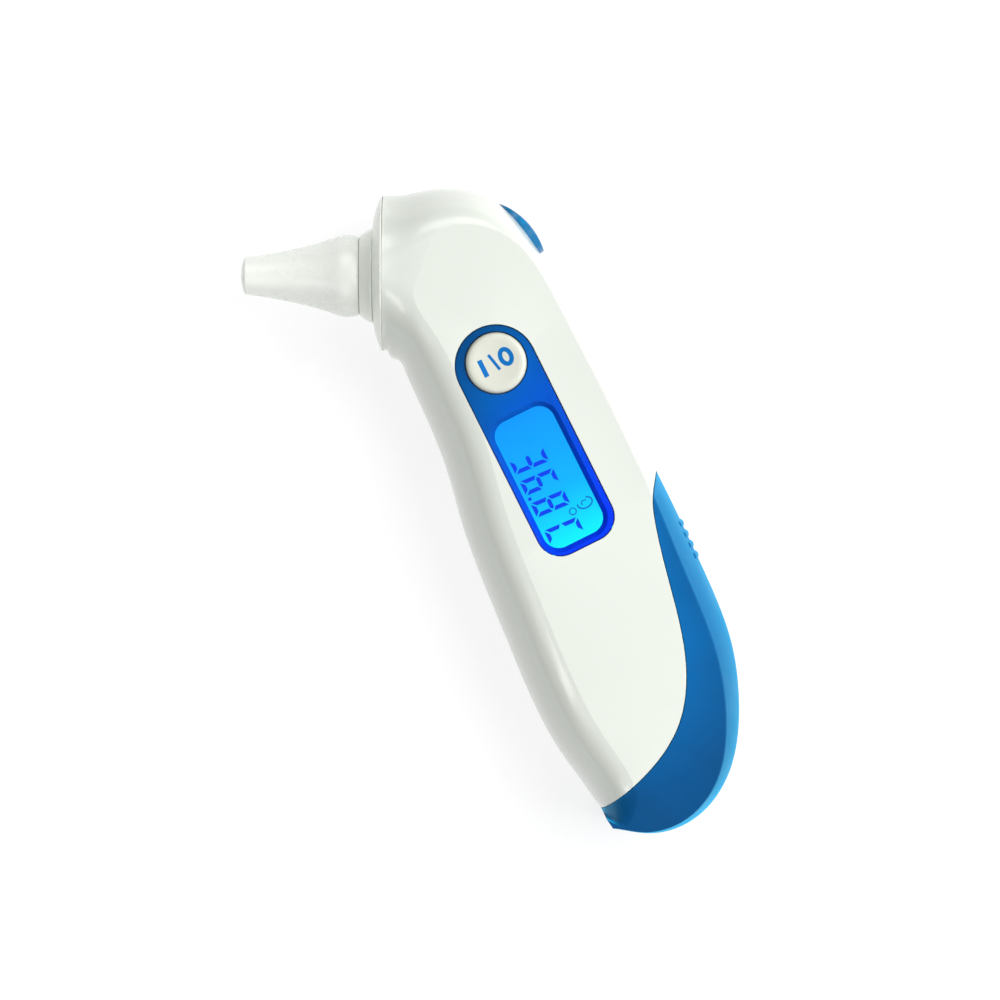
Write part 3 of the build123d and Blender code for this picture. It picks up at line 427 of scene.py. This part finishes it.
for part in frame["record"]["subparts"]:
    piece = nodes[part["node"]]
    piece.data.materials.clear()
    piece.data.materials.append(FINISHES[part["material_slot"]])

# ---------------------------------------------------------------- thin printed and display figures
INK = 0.03 * MM


def add_piece(name, mesh, material, body):
    """Links a new mesh as a piece that rides on a body."""
    piece = bpy.data.objects.new(name, mesh)
    bpy.context.scene.collection.objects.link(piece)
    mesh.materials.append(material)
    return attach(piece, body)


def slab(outlines, low, high):
    """Mesh of flat closed outlines, each a list of points, raised from low to high."""
    mesh = bmesh.new()
    for outline in outlines:
        rings = [[mesh.verts.new((point.x, point.y, height)) for point in outline] for height in (low, high)]
        mesh.faces.new(list(reversed(rings[0])))
        mesh.faces.new(rings[1])
        count = len(outline)
        for index in range(count):
            after = (index + 1) % count
            mesh.faces.new((rings[0][index], rings[0][after], rings[1][after], rings[1][index]))
    bmesh.ops.recalc_face_normals(mesh, faces=mesh.faces)
    data = bpy.data.meshes.new("slab")
    mesh.to_mesh(data)
    mesh.free()
    return data


def stroke(centre, points, width, closed=False):
    """Outlines of a line of even width through points (back, up), as one four-sided piece a run."""
    outlines = []
    count = len(points)
    normals = []
    for index in range(count):
        before = points[(index - 1) % count] if closed or index else points[index]
        after = points[(index + 1) % count] if closed or index < count - 1 else points[index]
        along = (Vector(after) - Vector(before)).normalized()
        normals.append(Vector((-along.y, along.x)) * width / 2)
    for index in range(count if closed else count - 1):
        after = (index + 1) % count
        start, end = Vector(points[index]), Vector(points[after])
        corners = [start + normals[index], start - normals[index], end - normals[after], end + normals[after]]
        outlines.append([beside(centre, corner.x, corner.y, 0.0) for corner in corners])
    return outlines


def ellipse(centre, half_wide, half_high, start=0.0, end=360.0, steps=48):
    """Points of an ellipse's arc, in degrees from +back, closed when it goes all the way round."""
    whole = end - start >= 360.0
    turns = [math.radians(start + (end - start) * i / steps) for i in range(steps if whole else steps + 1)]
    return [(centre[0] + half_wide * math.cos(t), centre[1] + half_high * math.sin(t)) for t in turns]


# Seven-segment figures. They read down the handle, with their tops towards its back.
DIGIT_TALL = 7.9
DIGIT_WIDE = 3.45
DIGIT_PITCH = 5.1
BAR = 0.92
BAR_GAP = 0.26
SLANT = 0.06
FIRST_UP = 7.05  # start of the first figure, up the handle from the display's centre
FOOT_BACK = -6.25  # feet of the figures, from the display's centre
UNIT_AT = 3 * DIGIT_PITCH + 1.75  # start of the C
LAST_SHIFT = 0.25  # the third figure stands a little further on, past the point
POINT = (0.7, 0.75)  # wide, high
POINT_END = 2 * DIGIT_PITCH - 0.35
DEGREE_AT = (1.35, -9.05)
DEGREE_R = 0.75
EAR_AT = (4.55, -8.5)
SEGMENTS = {"3": "abcdg", "6": "acdefg", "8": "abcdefg", "C": "adef"}


def digit_place(along, rise):
    """(back, up) of a point of the display's text: along its reading direction, rise above its foot."""
    return FOOT_BACK + rise, FIRST_UP - along - SLANT * rise


def segment(name, left):
    """Outline of one bar of a figure that starts at left, with mitred ends."""
    half = DIGIT_TALL / 2
    low, high = BAR_GAP, DIGIT_WIDE - BAR_GAP
    near, far = BAR_GAP, half - BAR_GAP * 0.7
    cut = BAR
    flat = {
        "d": [(low, 0), (high, 0), (high - cut, cut), (low + cut, cut)],
        "a": [
            (low + cut, DIGIT_TALL - cut), (high - cut, DIGIT_TALL - cut), (high, DIGIT_TALL),
            (low, DIGIT_TALL),
        ],
        "g": [
            (low + cut * 0.2, half), (low + cut * 0.7, half - cut / 2), (high - cut * 0.7, half - cut / 2),
            (high - cut * 0.2, half), (high - cut * 0.7, half + cut / 2), (low + cut * 0.7, half + cut / 2),
        ],
        "e": [(0, near), (cut, near + cut), (cut, far - cut * 0.6), (0, far)],
        "c": [
            (DIGIT_WIDE - cut, near + cut), (DIGIT_WIDE, near), (DIGIT_WIDE, far),
            (DIGIT_WIDE - cut, far - cut * 0.6),
        ],
    }
    if name in "fb":
        lower = flat["e" if name == "f" else "c"]
        points = [(along, DIGIT_TALL - rise) for along, rise in lower]
    else:
        points = flat[name]
    return [beside(DISPLAY_CENTRE, *digit_place(left + along, rise), 0.0) for along, rise in points]


def display_figures():
    """The reading: two figures, a point, a figure and a C."""
    outlines = []
    for index, figure in enumerate("368"):
        left = index * DIGIT_PITCH + (LAST_SHIFT if index == 2 else 0)
        outlines += [segment(bar, left) for bar in SEGMENTS[figure]]
    outlines += [segment(bar, UNIT_AT) for bar in SEGMENTS["C"]]
    start = POINT_END - POINT[0]
    dot = [(start, 0.0), (POINT_END, 0.0), (POINT_END, POINT[1]), (start, POINT[1])]
    outlines.append([beside(DISPLAY_CENTRE, *digit_place(along, rise), 0.0) for along, rise in dot])
    ink = display_ink("figure_ink", srgb(0, 62, 230), 1.0)
    mesh = slab(outlines, LCD_TOP + INK, LCD_TOP + 2 * INK)
    add_piece("display_figures", mesh, ink, "body")


def display_icons():
    """Thin icons: the degree ring, and an ear for the measuring mode."""
    outlines = stroke(DISPLAY_CENTRE, ellipse(DEGREE_AT, DEGREE_R, DEGREE_R), 0.26, closed=True)
    outer = ellipse(EAR_AT, 1.7, 1.15, 160, 425, 32)
    inner = ellipse((EAR_AT[0] - 0.1, EAR_AT[1] + 0.1), 0.65, 0.5, 30, 220, 16)
    outlines += stroke(DISPLAY_CENTRE, outer, 0.34)
    outlines += stroke(DISPLAY_CENTRE, inner, 0.26)
    ink = display_ink("icon_ink", srgb(0, 112, 200), 1.0)
    mesh = slab(outlines, LCD_TOP + INK, LCD_TOP + 2 * INK)
    add_piece("display_icons", mesh, ink, "body")


PRINT_SINK = 1.5  # how far a print goes down from its top, in thicknesses, so that it has no gap below it


def printed_on(node, outlines, thickness):
    """A thin print that follows a node's upper surface under flat outlines."""
    source = nodes[node].data
    tree = BVHTree.FromPolygons([v.co for v in source.vertices], [p.vertices for p in source.polygons])
    mesh = bmesh.new()
    for outline in outlines:
        face = mesh.faces.new([mesh.verts.new((point.x, point.y, 0.0)) for point in outline])
        face.normal_update()
    bmesh.ops.subdivide_edges(mesh, edges=mesh.edges[:], cuts=3, use_grid_fill=True)
    bmesh.ops.remove_doubles(mesh, verts=mesh.verts[:], dist=1e-6)
    for vertex in mesh.verts:
        hit = tree.ray_cast(Vector((vertex.co.x, vertex.co.y, HIGH.z + MM)), Vector((0, 0, -1)))
        vertex.co.z = hit[0].z + thickness
    bmesh.ops.recalc_face_normals(mesh, faces=mesh.faces[:])
    if mesh.faces[0].normal.z < 0:
        bmesh.ops.reverse_faces(mesh, faces=mesh.faces[:])
    raised = set(bmesh.ops.extrude_face_region(mesh, geom=mesh.faces[:])["geom"])
    for vertex in mesh.verts:
        if vertex not in raised:
            vertex.co.z -= thickness * PRINT_SINK
    bmesh.ops.recalc_face_normals(mesh, faces=mesh.faces[:])
    data = bpy.data.meshes.new("print")
    mesh.to_mesh(data)
    mesh.free()
    return data


MARK_THICK = 0.015 * MM


def button_mark():
    """The plain on/off sign: a bar, a slanted stroke and a ring."""
    centre = BUTTON_CENTRE
    outlines = stroke(centre, [(-3.1, 2.1), (-3.1, -1.9)], 1.1)
    outlines += stroke(centre, [(-0.8, 2.3), (0.1, -1.7)], 0.66)
    outlines += stroke(centre, ellipse((2.5, 0.3), 1.15, 1.66), 1.0, closed=True)
    mesh = printed_on("power_button", outlines, MARK_THICK)
    add_piece("button_mark", mesh, button_ink(), "power_button_group")


display_figures()
display_icons()
button_mark()

# ---------------------------------------------------------------- floor, light and camera
VIEW_MIDDLE = Vector((11.1, -49.8, 17.8)) * MM  # what the camera looks straight down on
VIEW_WIDTH = 222.2 * MM  # what it sees at that height
LENS = 150.0
SENSOR = 36.0


FLOOR_HALF = 3.0
FLOOR_Z = LOW.z - 0.02 * MM  # just clear of the rear side


def floor():
    """Pale sheet under the thermometer."""
    mesh = bpy.data.meshes.new("floor")
    half = FLOOR_HALF
    corners = [(x, y, FLOOR_Z) for x, y in ((-half, -half), (half, -half), (half, half), (-half, half))]
    mesh.from_pydata(corners, [], [(0, 1, 2, 3)])
    piece = bpy.data.objects.new("floor", mesh)
    bpy.context.scene.collection.objects.link(piece)
    shader = Shader("floor_paper")
    shader.link(
        shader.ramp(shader.noise(0.05, 4.0), [(0.3, srgb(146, 147, 147)), (0.7, srgb(150, 150, 150))]),
        shader.base.inputs["Base Color"],
    )
    shader.bumps([(shader.noise(0.0006), 0.00002, 0.2)])
    shader.set(Roughness=0.8, Specular_IOR_Level=0.1, Emission_Color=WHITE, Emission_Strength=0.75)
    mesh.materials.append(shader.material)


# Soft lights: name, place from the middle of the view, size (both in metres), watts. Each stands well off
# the vertical, so that none is mirrored in the display.
LIGHTS = [
    ("key", (0.8, 0.16, 0.85), (1.1, 1.1), 15.0),
    ("head", (-0.1, 0.85, 0.85), (0.8, 0.5), 3.4),
    ("foot", (-0.15, -0.8, 0.9), (0.7, 0.5), 2.2),
    ("strip", (-0.55, -0.35, 0.75), (0.06, 0.4), 0.5),
]
WORLD_DARK = (0.09, 0.095, 0.095, 1.0)  # towards the probe
WORLD_BRIGHT = (0.55, 0.56, 0.56, 1.0)  # towards the back of the handle
WORLD_SPREAD = 0.9  # how far to each side the change reaches


def area_light(name, place, target, size, watts):
    """Rectangular soft light at a place, aimed at a target."""
    data = bpy.data.lights.new(name, "AREA")
    data.shape = "RECTANGLE"
    data.size, data.size_y = size
    data.energy = watts
    lamp = bpy.data.objects.new(name, data)
    lamp.location = place
    lamp.rotation_euler = (Vector(target) - Vector(place)).to_track_quat("-Z", "Y").to_euler()
    bpy.context.scene.collection.objects.link(lamp)


def studio():
    """Large soft lights: a strong one from the back of the handle, and a world that darkens to the probe."""
    world = bpy.data.worlds.new("studio")
    world.use_nodes = True
    tree = world.node_tree
    place = tree.nodes.new("ShaderNodeTexCoord")
    side = tree.nodes.new("ShaderNodeVectorMath")
    side.operation = "DOT_PRODUCT"
    side.inputs[1].default_value = (1.0, -0.1, 0.0)
    ramp = tree.nodes.new("ShaderNodeValToRGB")
    ramp.color_ramp.elements[0].color = WORLD_DARK
    ramp.color_ramp.elements[1].color = WORLD_BRIGHT
    spread = tree.nodes.new("ShaderNodeMapRange")
    spread.inputs["From Min"].default_value = -WORLD_SPREAD
    spread.inputs["From Max"].default_value = WORLD_SPREAD
    tree.links.new(place.outputs["Generated"], side.inputs[0])
    tree.links.new(side.outputs["Value"], spread.inputs["Value"])
    tree.links.new(spread.outputs["Result"], ramp.inputs["Fac"])
    tree.links.new(ramp.outputs["Color"], tree.nodes["Background"].inputs["Color"])
    bpy.context.scene.world = world
    for name, offset, size, watts in LIGHTS:
        area_light(name, VIEW_MIDDLE + Vector(offset), VIEW_MIDDLE, size, watts)


def camera():
    """Straight down on the display side."""
    data = bpy.data.cameras.new("camera")
    data.lens = LENS
    data.sensor_width = SENSOR
    data.clip_start = 0.01
    eye = bpy.data.objects.new("camera", data)
    eye.location = VIEW_MIDDLE + Vector((0, 0, VIEW_WIDTH / SENSOR * LENS))
    bpy.context.scene.collection.objects.link(eye)
    bpy.context.scene.camera = eye


floor()
studio()
camera()
bpy.context.scene.view_settings.view_transform = "Standard"
